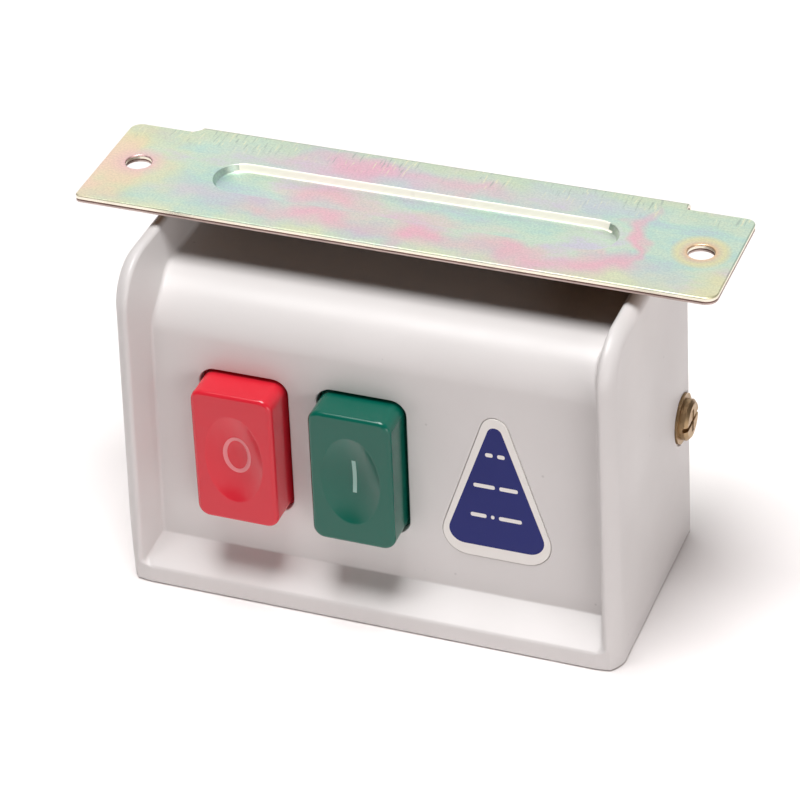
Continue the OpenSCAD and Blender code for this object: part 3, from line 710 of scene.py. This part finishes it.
def rolling_marks(p):
    """Raised lines and dents, slanting across the plate near its rear edge."""
    slant = {"Vector": p.coord, "Rotation": (0.0, 0.0, 0.5), "Scale": (1.0, 0.12, 1.0)}
    marks = p.node("Mapping", slant).outputs[0]
    marks = p.node("TexNoise", {"Vector": marks, "Scale": 1700.0, "Detail": 2.0}).outputs["Fac"]
    y = p.node("SeparateXYZ", {0: p.coord}).outputs[1]
    zone = p.ramp(p.math("MULTIPLY", y, 50.0), [(0.40, 0.0), (0.58, 1.0)])
    where = p.ramp(p.noise(120, 1, 0.4, stretch=(1.0, 0.3, 1.0)), [(0.40, 0.0), (0.52, 1.0)])
    place = p.math("MULTIPLY", zone, where)
    lines = p.math("MULTIPLY", p.ramp(marks, [(0.60, 0.0), (0.66, 1.0)]), place)
    dents = p.math("MULTIPLY", p.ramp(marks, [(0.34, 1.0), (0.40, 0.0)]), place)
    return lines, dents


FIXING_X, FIXING_R = 57, 2.6
BEND_OUT = 2.6
# Lengths along the flat sheet, from its front edge: where the bend starts, and how long the bend is.
BEND_S = BACK_Y - BEND_OUT - PLATE_Y
BEND_LEN = BEND_OUT * math.pi / 2
HOLE_S = HOLE_Y - PLATE_Y
# The ears with the fixing holes end here, and beyond them the sheet is as wide as the cover.
EAR_S = 46.5 - PLATE_Y
# Half the width that fits between the cover's walls, and where the tabs for the cover screws bend forward.
NEST_X = SIDE_X - WALL - 0.4
TAB_X = NEST_X - BEND_OUT
TAB_FRONT, TAB_LOW, TAB_HIGH = 38.2, 23.0, 38.0
EDGE_R = 0.25
SLIT = 0.6
CONTACTOR_XS, EARTH_X, EARTH_Z, TAPPED_R = (-38, 34), 42, 43, 2
CABLE_X, CABLE_ZS, CABLE_R = 38.2, (14, 55), 6
POCKET_L, POCKET_W = 81.6, 10.7
POCKET_HALF, POCKET_R = (POCKET_L - POCKET_W) / 2, POCKET_W / 2
# The pocket's wall as (growth of its outline, depth), and how much wider it is on the underside.
POCKET = [(0.3, 0.0), (0.16, 0.025), (0.06, 0.1), (0.0, 0.25)]
POCKET += [(-0.35, 1.12), (-0.42, 1.26), (-0.54, 1.36), (-0.7, 1.4)]
UNDER_GROW = 1.0

BRACKET_PAINTS = [
    make_chromate(),
    # Near-white band along the sheared edge: partly burnished metal, partly a painted highlight of the edge.
    metal("burnished_edge_painted_highlight", srgb(246, 240, 222), 0.3, 0.05, 0.08),
    metal("broken_sheared_edge", srgb(120, 92, 84), 0.5, 0.25, 0.1),
    metal("dull_sheared_edge", srgb(196, 178, 172), 0.45, 0.12, 0.1),
    # Near-white, non-metal paint on the pocket's rear wall only: a painted highlight where that wall faces
    # the front.
    moulded("pocket_rear_wall_painted_highlight", srgb(254, 250, 236), 0.3, 0.03, bump=0.1),
    # Dark brown underside: painted shade, darker than the film on top, which darkens the gap under the plate.
    metal("chromate_underside_painted_shade", srgb(128, 98, 70), 0.45, 0.15, 0.1),
]
FILM, BURNISH_HIGHLIGHT, BROWN, PALE, POCKET_REAR_HIGHLIGHT, SHADED_UNDERSIDE = range(6)
# The sheared edge's section: depth, how far out, and the paint of the band that ends there. Its near-white
# band is partly the real burnished zone and partly painted highlight.
SHEARED_EDGE = [(EDGE_R * (1 - math.cos(a)), EDGE_R * math.sin(a), FILM) for a in arc(30, 90, 2)]
SHEARED_EDGE += [
    (0.78, EDGE_R, BURNISH_HIGHLIGHT),
    (0.82, 0.2, BROWN),
    (1.1, 0.2, BROWN),
    (1.14, 0.23, PALE),
    (1.4, 0.23, PALE),
    (1.54, 0.12, PALE),
]


def down(z):
    """How far along the flat sheet a height on the back plate lies."""
    return BEND_S + BEND_LEN + DECK_Z - BEND_OUT - z


def fold(x, s, depth):
    """A point of the flat sheet, at a depth under its outer face, on the folded bracket."""
    if s <= BEND_S or abs(x) > SIDE_X and s < EAR_S + EDGE_R:  # the top plate and its ears
        return x, PLATE_Y + s, DECK_Z - depth
    r = BEND_OUT - depth
    if s < BEND_S + BEND_LEN:  # the rear bend
        a = (s - BEND_S) / BEND_OUT
        return x, PLATE_Y + BEND_S + r * math.sin(a), DECK_Z - BEND_OUT + r * math.cos(a)
    z = DECK_Z - BEND_OUT - (s - BEND_S - BEND_LEN)
    over = abs(x) - TAB_X
    if over > 0 and TAB_LOW - EDGE_R < z < TAB_HIGH + EDGE_R:  # a tab, bent forward
        side = math.copysign(1, x)
        if over < BEND_LEN:
            a = over / BEND_OUT
            return side * (TAB_X + r * math.sin(a)), BACK_Y - BEND_OUT + r * math.cos(a), z
        return side * (NEST_X - depth), BACK_Y - BEND_OUT - (over - BEND_LEN), z
    return x, BACK_Y - depth, z


def obround(grow, steps=14):
    """The pocket's outline on the flat sheet."""
    right = sweep(POCKET_HALF, HOLE_S, POCKET_R + grow, arc(-90, 90, steps))
    return right + sweep(-POCKET_HALF, HOLE_S, POCKET_R + grow, arc(90, 270, steps))


def under_pocket(p):
    """The pocket's underside is wider than its top by the sheet's stretch."""
    x, s = p
    cx = max(-POCKET_HALF, min(POCKET_HALF, x))
    away = Vector((x - cx, s - HOLE_S))
    if away.length > POCKET_R + POCKET[0][0] + 0.01 or away.length < 0.5:
        return p
    away = away.normalized() * (away.length + UNDER_GROW)
    return cx + away.x, HOLE_S + away.y


def bracket_outline():
    """The flat sheet's outline, whose two ends differ a little at the corners."""
    tab = TAB_X + BEND_LEN + BACK_Y - BEND_OUT - TAB_FRONT
    high, low = down(TAB_HIGH), down(TAB_LOW)
    right = [
        (PLATE_X, 0, 2.4),
        (PLATE_X, EAR_S, 1.9),
        (SIDE_X + 0.2, EAR_S, 0.3),
        (SIDE_X, EAR_S + 1.2, 0.3),
        (SIDE_X, down(WIDE_Z), 1),
        (NEST_X, down(WIDE_Z), 0.6),
        (NEST_X, high - SLIT, 0.3),
        (TAB_X - 0.4, high - SLIT, 0.28),
        (TAB_X - 0.4, high, 0.28),
        (tab, high, 1.2),
        (tab, low, 1.2),
        (TAB_X - 0.4, low, 0.28),
        (TAB_X - 0.4, low + SLIT, 0.28),
        (NEST_X, low + SLIT, 0.3),
        (NEST_X, down(WALL + 0.4), 2),
    ]
    left = [(-x, s, r) for x, s, r in reversed(right)]
    left[-1] = (-PLATE_X, 0, 1.1)
    left[-2] = (-PLATE_X, EAR_S, 2.3)
    left[-3] = (-SIDE_X - 1.3, EAR_S, 0.5)
    return rounded_path(right + left)


def bracket_holes():
    """Paths on the flat sheet: two fixing holes, three tapped ones, two for cables and one in each tab."""
    spots = [(s * FIXING_X, HOLE_S, FIXING_R) for s in (-1, 1)]
    spots += [(x, down(CAP_Z), TAPPED_R) for x in CONTACTOR_XS] + [(EARTH_X, down(EARTH_Z), TAPPED_R)]
    spots += [(CABLE_X, down(z), CABLE_R) for z in CABLE_ZS]
    tapped = TAB_X + BEND_LEN + BACK_Y - BEND_OUT - SCREW_Y
    spots += [(s * tapped, down(SCREW_Z), TAPPED_R) for s in (-1, 1)]
    return [inset(circle(*spot), -EDGE_R) for spot in spots]


def fold_lines():
    """Lines across the flat sheet that let it bend smoothly, at the rear bend and at the two tabs."""
    levels = [BEND_S + BEND_LEN * k / 10 for k in range(11)]
    lines = [((-SIDE_X - 1, s), (SIDE_X + 1, s)) for s in levels]
    for sign in (-1, 1):
        for k in range(9):
            x = sign * (TAB_X + BEND_LEN * k / 8)
            lines.append(((x, down(TAB_HIGH)), (x, down(TAB_LOW))))
    return lines


def make_bracket():
    """The sheet is triangulated flat, its pocket is pressed in, and then every point is folded into place."""
    holes, outline = bracket_holes(), inset(bracket_outline(), EDGE_R)
    rim, floor = obround(POCKET[0][0]), obround(POCKET[-1][0])
    points, faces = triangulate([outline, *holes, rim, floor], fold_lines())
    kept = []
    for f in faces:
        cx, cy = (sum(points[i][k] for i in f) / 3 for k in (0, 1))
        in_wall = inside_path(rim, cx, cy) and not inside_path(floor, cx, cy)
        if inside_path(outline, cx, cy) and not in_wall and not any(inside_path(h, cx, cy) for h in holes):
            kept.append(f)
    kinds = [FILM] * len(kept)

    def find(p):
        return min(range(len(points)), key=lambda i: (points[i][0] - p[0]) ** 2 + (points[i][1] - p[1]) ** 2)

    depth = {}
    rows = [[find(p) for p in rim]]
    for grow, d in POCKET[1:-1]:
        row = []
        for p in obround(grow):
            depth[len(points)] = d
            row.append(len(points))
            points.append(p)
        rows.append(row)
    rows.append([find(p) for p in floor])
    for i in rows[-1]:
        depth[i] = POCKET[-1][1]
    for up, low in zip(rows, rows[1:]):
        for k in range(len(up)):
            n = (k + 1) % len(up)
            kept.append((up[k], up[n], low[n], low[k]))
            x, s = ((points[up[k]][i] + points[up[n]][i]) / 2 for i in (0, 1))
            # The rear half of the pocket's wall gets the painted highlight, and the rest keeps the film.
            kinds.append(POCKET_REAR_HIGHLIGHT if s > HOLE_S and abs(x) < POCKET_HALF + POCKET_R / 2 else FILM)
    verts, made, kinds = plate_mesh(
        points, kept, kinds, SHEET, SHEARED_EDGE, fold, under_pocket, depth, SHADED_UNDERSIDE
    )
    bracket = new_piece("folded_bracket", verts, made, [p.m for p in BRACKET_PAINTS], kinds)
    soften(bracket, 36)
    add_piece(bracket, "housing", ["mounting_bracket"])


make_bracket()


# ---------------------------------------------------------------- buttons
DISH_W, DISH_H, DISH_DEEP = 6.0, 10.0, 2.3
CAP_EDGE = 0.95
FLANGE_Y, FLANGE_T, FLANGE_LIP = PANEL_Y + WALL + 0.1, 2.0, 1.8
CAP_FLOOR, CAP_WALL = 3.4, 1.8
STEM_R, OFF_STEM_Y, ON_STEM_Y = 3.0, 25.4, 20.2
PIN_R, PIN_Y = 1.5, 27.6
# The printed marks' half width and half height, and half the width of their stroke.
MARK_W, MARK_H, MARK_STROKE = 2.5, 3.7, 0.48


def dish_depth(x, z):
    """How deep the elliptical thumb dish is at a distance from its middle."""
    share = math.hypot(x / DISH_W, z / DISH_H)
    return DISH_DEEP * (1 - share**1.8) if share < 1 else 0.0


def button_rings(cx, stem):
    """Rings from the middle of the dish, over the face and the skirt, to the end of the stem."""
    steps = (14, 8, 9)
    turns = [math.atan2(z / CAP_H, x / CAP_W) for x, z in round_rect(CAP_W, CAP_H, CAP_R, *steps)]

    def oval(share):
        pts = [(DISH_W * share * math.cos(t), DISH_H * share * math.sin(t)) for t in turns]
        return [(cx + x, CAP_FACE + dish_depth(x, z), CAP_Z + z) for x, z in pts]

    def box(grow, y, r=None):
        pts = round_rect(CAP_W + 2 * grow, CAP_H + 2 * grow, CAP_R + grow if r is None else r, *steps)
        return [(cx + x, y, CAP_Z + z) for x, z in pts]

    rings = [oval(share) for share in (0.02, 0.12, 0.25, 0.4, 0.55, 0.68, 0.8, 0.88, 0.94, 0.98, 1.0, 1.03)]
    last, flat = rings[-1], box(-CAP_EDGE, CAP_FACE)
    for t in (0.35, 0.7):
        rings.append([tuple(a + (b - a) * t for a, b in zip(p, q)) for p, q in zip(last, flat)])
    for a in arc(0, 90, 8):
        rings.append(box(CAP_EDGE * (math.sin(a) - 1), CAP_FACE + CAP_EDGE * (1 - math.cos(a))))
    rings += [box(0, FLANGE_Y - 0.2), box(0.2, FLANGE_Y), box(FLANGE_LIP - 0.2, FLANGE_Y, CAP_R)]
    rings += [box(FLANGE_LIP, FLANGE_Y + 0.2, CAP_R), box(FLANGE_LIP, FLANGE_Y + FLANGE_T, CAP_R)]
    rings += [box(-CAP_WALL, FLANGE_Y + FLANGE_T, CAP_R - 1), box(-CAP_WALL, CAP_FLOOR, CAP_R - 1)]
    rings += [[(cx + r * math.cos(t), y, CAP_Z + r * math.sin(t)) for t in turns] for y, r in stem]
    return rings


def stem_section(end):
    """(y, radius) from the fillet on the cap's floor to the stem's bevelled end."""
    fillet, bevel = 0.6, 0.3
    root = [(CAP_FLOOR, STEM_R + fillet), (CAP_FLOOR + fillet, STEM_R)]
    return root + [(end - bevel, STEM_R), (end, STEM_R - bevel)]


def make_mark(cx, centres, closed, name, paint, body):
    """A thin print that follows the dish, with its sections at centres: (x, z, across x, across z)."""
    rings = []
    for mx, mz, ux, uz in centres:
        ring = []
        for side, lift in ((-1, -0.1), (-0.8, 0.03), (0, 0.035), (0.8, 0.03), (1, -0.1)):
            x, z = mx + ux * side * MARK_STROKE, mz + uz * side * MARK_STROKE
            ring.append((cx + x, CAP_FACE + dish_depth(x, z) - lift, CAP_Z + z))
        rings.append(ring)
    verts, faces = loft(rings, caps=not closed)
    if closed:
        n, last = len(rings[0]), (len(rings) - 1) * len(rings[0])
        faces += [(last + j, last + (j + 1) % n, (j + 1) % n, j) for j in range(n)]
    add_piece(soften(new_piece(name, verts, faces, [paint.m]), 50), body, [])


def make_buttons():
    """Both caps with their stems, the ring printed on the OFF cap and the bar on the ON cap."""
    red = moulded("red_plastic", srgb(210, 36, 52), 0.2, 0.05, bump=0.15, Specular_IOR_Level=0.5)
    green = moulded("green_plastic", srgb(2, 92, 76), 0.2, 0.06, bump=0.15, Specular_IOR_Level=0.5)
    pink = moulded("pale_print_on_red", srgb(226, 132, 138), 0.45, 0.08, bump=0.1)
    mint = moulded("pale_print_on_green", srgb(150, 186, 176), 0.45, 0.08, bump=0.1)
    pin = [(OFF_STEM_Y, PIN_R), (PIN_Y - 0.2, PIN_R), (PIN_Y, PIN_R - 0.2)]
    for side, cx, paint, slot, stem in (
        ("off", OFF_X, red, "red_plastic", stem_section(OFF_STEM_Y) + pin),
        ("on", ON_X, green, "green_plastic", stem_section(ON_STEM_Y)),
    ):
        cap = new_piece(side + "_button_cap", *loft(button_rings(cx, stem)), [paint.m])
        soften(cap, 40)
        add_piece(cap, side + "_button", [side + "_button"])
    oval = []
    for a in arc(0, 360, 56)[:-1]:
        n = Vector((math.cos(a) / MARK_W, math.sin(a) / MARK_H)).normalized()
        oval.append((MARK_W * math.cos(a), MARK_H * math.sin(a), n.x, n.y))
    make_mark(OFF_X, oval, True, "off_mark", pink, "off_button")
    bar = [(0.0, MARK_H * (i / 10 - 1), 1.0, 0.0) for i in range(21)]
    make_mark(ON_X, bar, False, "on_mark", mint, "on_button")


make_buttons()


# ---------------------------------------------------------------- label
FIELD_LOW, FIELD_HIGH, FIELD_HALF = 19.43, 47.45, 9.6
DASH_H, DASH_GAP, DASH_R = 0.9, 0.9, 0.36
# Each row of dashes: its height and the widths of its dashes.
DASH_ROWS = [(40.6, (1.5, 1.5)), (33.2, (4.3, 3.7)), (26.2, (3.2, 0.7, 4.6))]


def make_label():
    """A thin plate printed with a white border, a blue field and three rows of plain dashes."""
    white = moulded("label_white", srgb(232, 228, 224), 0.3, 0.03, bump=0.08)
    blue = moulded("label_blue", srgb(26, 34, 108), 0.35, 0.06, bump=0.08, Specular_IOR_Level=0.25)
    outline = inset(label_outline(), 0.08)
    shape = round_triangle(2 * FIELD_HALF, FIELD_HIGH - FIELD_LOW, 3.1, 1.5)
    field = [(LABEL_X + x, FIELD_LOW + z) for x, z in shape]
    dashes = []
    for z, widths in DASH_ROWS:
        x = LABEL_X - (sum(widths) + DASH_GAP * (len(widths) - 1)) / 2
        for w in widths:
            box = ((x, z), (x + w, z), (x + w, z + DASH_H), (x, z + DASH_H))
            dashes.append(rounded_path([(*corner, DASH_R) for corner in box], 4))
            x += w + DASH_GAP
    points, faces = triangulate([outline, field, *dashes])
    kept, kinds = [], []
    for f in faces:
        cx, cz = (sum(points[i][k] for i in f) / 3 for k in (0, 1))
        if inside_path(outline, cx, cz):
            on_dash = any(inside_path(dash, cx, cz) for dash in dashes)
            kept.append(f)
            kinds.append(1 if inside_path(field, cx, cz) and not on_dash else 0)
    edge = [(0.02, 0.05, 0), (0.08, 0.08, 0), (0.4, 0.08, 0)]
    verts, made, kinds = plate_mesh(points, kept, kinds, 0.44, edge, lambda x, z, d: (x, LABEL_Y + d, z))
    plate = new_piece("label_plate", verts, made, [white.m, blue.m], kinds)
    soften(plate, 30)
    add_piece(plate, "housing", ["label"])


make_label()


# ---------------------------------------------------------------- springs
SPRING_STEEL = metal("spring_steel", srgb(176, 180, 184), 0.3, 0.06)
OFF_TRAVEL, ON_TRAVEL = 4.0, 4.5
SPRING_SEAT_Y = 17.4
CARRIER_SPRING = (24.0, 32.0)


def coil(cx, cz, r, wire, start, end, turns, sides=8, steps=30):
    """Rings of a compression spring along Y with a closed turn at each end."""
    closed = 2.2 * wire
    low, high = start + wire, end - wire

    def rise(turn):
        if turn < 1:
            return low + closed * turn
        if turn > turns - 1:
            return high - closed * (turns - turn)
        return low + closed + (high - low - 2 * closed) * (turn - 1) / (turns - 2)

    def middle(i):
        turn = i / steps
        a = 2 * math.pi * turn
        return Vector((cx + r * math.cos(a), rise(turn), cz + r * math.sin(a)))

    rings = []
    last = turns * steps
    for i in range(last + 1):
        along = (middle(min(i + 1, last)) - middle(max(i - 1, 0))).normalized()
        u = along.cross(Vector((0, 1, 0))).normalized()
        v = u.cross(along)
        round_wire = arc(0, 360, sides)[:-1]
        rings.append([tuple(middle(i) + wire * (math.cos(a) * u + math.sin(a) * v)) for a in round_wire])
    return rings


def make_spring(name, node, joint, coils, start, end, travel):
    """Coils of (x, z, radius, wire radius, turns) from start to end in Y; the joint is not used."""
    verts, faces = [], []
    for cx, cz, r, wire, turns in coils:
        v, f = loft(coil(cx, cz, r, wire, start, end, turns))
        faces += [tuple(i + len(verts) for i in face) for face in f]
        verts += v
    spring = soften(new_piece(name, verts, faces, [SPRING_STEEL.m]), 50, weighted=False)
    add_piece(spring, "housing", [node])
    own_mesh(spring)


for side, cx, travel in (("off", OFF_X, OFF_TRAVEL), ("on", ON_X, ON_TRAVEL)):
    names = (side + "_button_coil_spring", side + "_button_spring", side + "_press")
    make_spring(*names, [(cx, CAP_Z, 4.6, 0.4, 6)], CAP_FLOOR, SPRING_SEAT_Y, travel)
carrier_coils = [(ON_X, CAP_Z + s * 10.2, 2.1, 0.3, 5) for s in (-1, 1)]
names = ("carrier_return_coil_springs", "return_springs", "carrier_slide")
make_spring(*names, carrier_coils, *CARRIER_SPRING, ON_TRAVEL)

# ---------------------------------------------------------------- the CAD pieces that stay as they are
CAD_PAINTS = {
    "chromate_screw": metal("chromate_screw", srgb(172, 146, 112), 0.42, 0.3),
    "rubber": moulded("rubber", srgb(38, 38, 41), 0.7, 0.1, bump=0.4),
    "spring_steel": SPRING_STEEL,
    "black_phenolic": moulded("black_phenolic", srgb(40, 40, 44), 0.45, 0.15, bump=0.35),
    "zinc_steel": metal("zinc_steel", srgb(196, 200, 204), 0.3, 0.08),
    "core_steel": metal("core_steel", srgb(132, 134, 138), 0.42, 0.15),
    "copper": metal("copper", srgb(196, 124, 86), 0.32, 0.12),
    "natural_plastic": moulded("natural_plastic", srgb(226, 218, 196), 0.45, 0.05),
    "silver": metal("silver", srgb(214, 216, 218), 0.26, 0.06),
    "brass": metal("brass", srgb(204, 172, 96), 0.3, 0.1),
    "wire_black": moulded("wire_black", srgb(34, 34, 37), 0.5, 0.1),
    "wire_brown": moulded("wire_brown", srgb(112, 66, 40), 0.5, 0.1),
}
SLOTS = {s["node"]: s["material_slot"] for s in frame["record"]["subparts"]}
for name, obj in frame["nodes"].items():
    if obj.hide_render:
        continue
    obj.data.materials.clear()
    obj.data.materials.append(CAD_PAINTS[SLOTS[name]].m)

# ---------------------------------------------------------------- floor, light and camera
# A point near the object's middle, which the lights and the camera are turned to.
MIDDLE = at(0, 25, 35)


def make_floor():
    z, size = COVER_LO.z - 0.1 * MM, 6.0
    corners = [(-size, -size, z), (size, -size, z), (size, size, z), (-size, size, z)]
    mesh = bpy.data.meshes.new("floor")
    mesh.from_pydata(corners, [], [(0, 1, 2, 3)])
    floor = bpy.data.objects.new("floor", mesh)
    bpy.context.scene.collection.objects.link(floor)
    paint = Paint("floor_paper", (0.9, 0.865, 0.86), 0.9, Specular_IOR_Level=0.0)
    mesh.materials.append(paint.m)


def area_light(name, offset, size, power, colour=(1, 1, 1)):
    """A rectangular light, offset in metres from the object's middle and turned towards it."""
    light = bpy.data.lights.new(name, "AREA")
    light.shape = "RECTANGLE"
    light.size, light.size_y = size
    light.energy = power
    light.color = colour
    obj = bpy.data.objects.new(name, light)
    obj.location = MIDDLE + Vector(offset)
    obj.rotation_euler = (-Vector(offset)).to_track_quat("-Z", "Y").to_euler()
    bpy.context.scene.collection.objects.link(obj)


def make_light():
    world = bpy.data.worlds.new("studio")
    world.use_nodes = True
    back = world.node_tree.nodes["Background"]
    back.inputs["Color"].default_value = (1.0, 0.82, 0.75, 1)
    back.inputs["Strength"].default_value = 0.06
    bpy.context.scene.world = world
    area_light("overhead", (-0.05, -0.20, 2.0), (0.95, 0.95), 49.0)
    area_light("fill", (1.5, -1.25, 0.35), (1.2, 0.6), 10.5, (1.0, 0.965, 0.955))
    area_light("backdrop", (-0.5, 1.5, 0.75), (2.2, 1.0), 8.0)


def make_camera():
    """The view of the object from its right, above and in front, at the real distance of a long lens."""
    azimuth, elevation, roll = math.radians(21.28), math.radians(34.205), math.radians(-2.26)
    distance, aside, above = 0.6964, -1.286 * MM, 1.654 * MM
    across = Vector((math.cos(azimuth), math.sin(azimuth), 0))
    level = Vector((-math.sin(azimuth), math.cos(azimuth), 0))
    forward = level * math.cos(elevation) - Vector((0, 0, math.sin(elevation)))
    up = across.cross(forward)
    right = across * math.cos(roll) + up * math.sin(roll)
    up = up * math.cos(roll) - across * math.sin(roll)
    aim = MIDDLE + right * aside + up * above
    data = bpy.data.cameras.new("camera")
    data.lens, data.sensor_width = 160.15, 36
    data.clip_start, data.clip_end = 0.05, 20
    camera = bpy.data.objects.new("camera", data)
    turn = Matrix((right, up, -forward)).transposed().to_4x4()
    camera.matrix_world = Matrix.Translation(aim - forward * distance) @ turn
    bpy.context.scene.collection.objects.link(camera)
    bpy.context.scene.camera = camera


make_floor()
make_light()
make_camera()
bpy.context.scene.view_settings.view_transform = "Standard"
